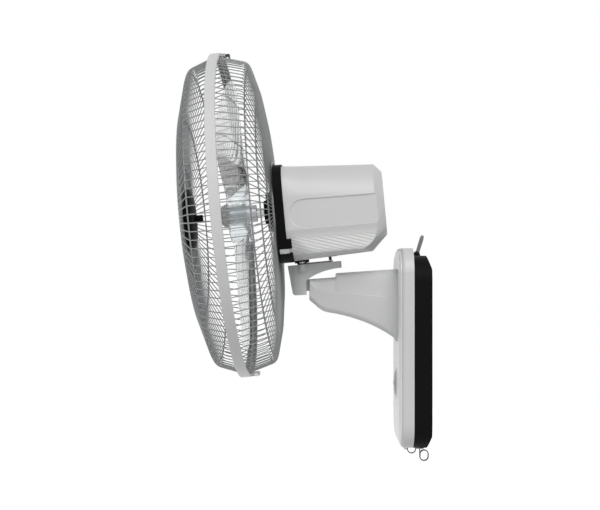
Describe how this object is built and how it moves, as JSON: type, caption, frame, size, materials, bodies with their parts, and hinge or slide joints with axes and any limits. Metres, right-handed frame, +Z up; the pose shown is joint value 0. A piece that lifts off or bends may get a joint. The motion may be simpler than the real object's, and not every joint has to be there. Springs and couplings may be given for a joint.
{
  "type": "wall mounted fan",
  "caption": "Wall fan: a caged clear impeller and motor head that tilts and swings on an arm from a wall base, with pull cords, a timer knob and a mains lead.",
  "frame": {"origin": "centre of the base's back face, on the wall, in the middle of the wall plate's four fixing holes", "axes": "+Y into the wall, +Z up, +X to the fan's left as it faces the room; the fan blows towards -Y"},
  "size_m": [0.44, 0.3386, 0.5522],
  "materials": {
    "light_grey_abs": "fine-grained moulded, light grey",
    "white_abs": "satin moulded, near white",
    "mid_grey_abs": "fine-grained moulded, mid grey",
    "black_abs": "moulded, black",
    "clear_as": "clear moulded styrene, bluish",
    "zinc_steel": "zinc plated",
    "guard_wire_steel": "grey coated wire",
    "lamination_steel": "varnished laminations",
    "cast_aluminium": "as cast",
    "copper_winding": "enamelled wire",
    "dark_steel": "black passivated",
    "brass": "turned",
    "acetal": "natural acetal",
    "grey_pvc": "flexible cord sheath, grey",
    "pull_cord_fibre": "thin braided cord, grey",
    "knob_grey": "moulded, mid grey"
  },
  "bodies": {
    "wall_base": {"wall_plate": "zinc_steel", "back_housing": "black_abs", "front_housing": "light_grey_abs", "fascia_panel": "white_abs", "wall_arm": "light_grey_abs", "arm_tongue": "mid_grey_abs", "tilt_pin": "zinc_steel", "tilt_washers": "zinc_steel", "base_screws": "zinc_steel", "run_capacitor": "acetal", "timer_body": "acetal", "speed_switch": "black_abs", "swing_switch": "black_abs", "cord_eyelets": "mid_grey_abs", "cord_gland": "black_abs", "power_cord": "grey_pvc", "cord_hank": "grey_pvc", "hank_tie": "black_abs", "plug_lead": "grey_pvc", "plug_body": "grey_pvc", "plug_pins": "brass"},
    "timer_knob": {"timer_knob": "knob_grey"},
    "speed_pull": {"speed_lever": "acetal", "speed_pull_cord": "pull_cord_fibre", "speed_pull_bundle": "pull_cord_fibre"},
    "swing_pull": {"swing_lever": "acetal", "swing_pull_cord": "pull_cord_fibre", "swing_pull_bundle": "pull_cord_fibre"},
    "neck": {"neck_housing": "mid_grey_abs", "pivot_bush": "acetal", "link_pin": "zinc_steel"},
    "swing_link": {"swing_link": "dark_steel"},
    "head": {"pivot_post": "dark_steel", "post_circlip": "dark_steel", "swing_motor": "zinc_steel", "motor_front_cover": "black_abs", "motor_rear_cover": "light_grey_abs", "stator_core": "lamination_steel", "stator_windings": "copper_winding", "front_end_shield": "cast_aluminium", "rear_end_shield": "cast_aluminium", "shaft_bearings": "brass", "motor_bolts": "zinc_steel", "guard_mount_plate": "black_abs", "guard_nut": "black_abs", "rear_guard": "guard_wire_steel", "rear_guard_rings": "guard_wire_steel", "front_guard": "guard_wire_steel", "front_guard_rings": "guard_wire_steel", "guard_badge": "mid_grey_abs", "rim_band": "light_grey_abs", "rim_screw": "zinc_steel"},
    "crank": {"crank": "acetal"},
    "rim_latch": {"rim_latch": "dark_steel"},
    "impeller": {"impeller": "clear_as", "blade_insert": "cast_aluminium", "drive_pin": "zinc_steel", "spinner_nut": "mid_grey_abs", "motor_shaft": "zinc_steel", "rotor": "lamination_steel"}
  },
  "joints": [
    {"name": "tilt", "type": "hinge", "parent": "wall_base", "child": "neck", "pos_m": [0, -0.175, 0.085], "axis": [1, 0, 0], "range_deg": [-4, 12]},
    {"name": "swing", "type": "hinge", "parent": "neck", "child": "head", "pos_m": [0, -0.17067, 0.11091], "axis": [0, -0.0924, 0.9957], "range_deg": [-37, 43]},
    {"name": "link_turn", "type": "hinge", "parent": "neck", "child": "swing_link", "pos_m": [0.02, -0.17067, 0.11091], "axis": [0, -0.0924, 0.9957], "range_deg": [-29, 33.5]},
    {"name": "crank_turn", "type": "hinge", "parent": "head", "child": "crank", "pos_m": [0.00173, -0.13852, 0.12102], "axis": [0, -0.0924, 0.9957], "continuous": true},
    {"name": "impeller_spin", "type": "hinge", "parent": "head", "child": "impeller", "pos_m": [-0.00461, -0.26512, 0.17757], "axis": [0.0523, 0.9944, 0.0922], "continuous": true},
    {"name": "latch_lift", "type": "hinge", "parent": "head", "child": "rim_latch", "pos_m": [-0.00414, -0.27631, 0.39497], "axis": [0.9986, -0.0521, -0.0048], "range_deg": [0, 60]},
    {"name": "timer_turn", "type": "hinge", "parent": "wall_base", "child": "timer_knob", "pos_m": [0, -0.04, -0.05], "axis": [0, -1, 0], "range_deg": [0, 300]},
    {"name": "speed_pull_travel", "type": "slide", "parent": "wall_base", "child": "speed_pull", "axis": [0, 0, -1], "range_m": [0, 0.01], "stiffness_N_per_m": 60, "springref_m": -0.004},
    {"name": "swing_pull_travel", "type": "slide", "parent": "wall_base", "child": "swing_pull", "axis": [0, 0, -1], "range_m": [0, 0.01], "stiffness_N_per_m": 60, "springref_m": -0.004}
  ],
  "couplings": [
    {"joint": "link_turn", "follows": "swing", "ratio": 0.76}
  ]
}
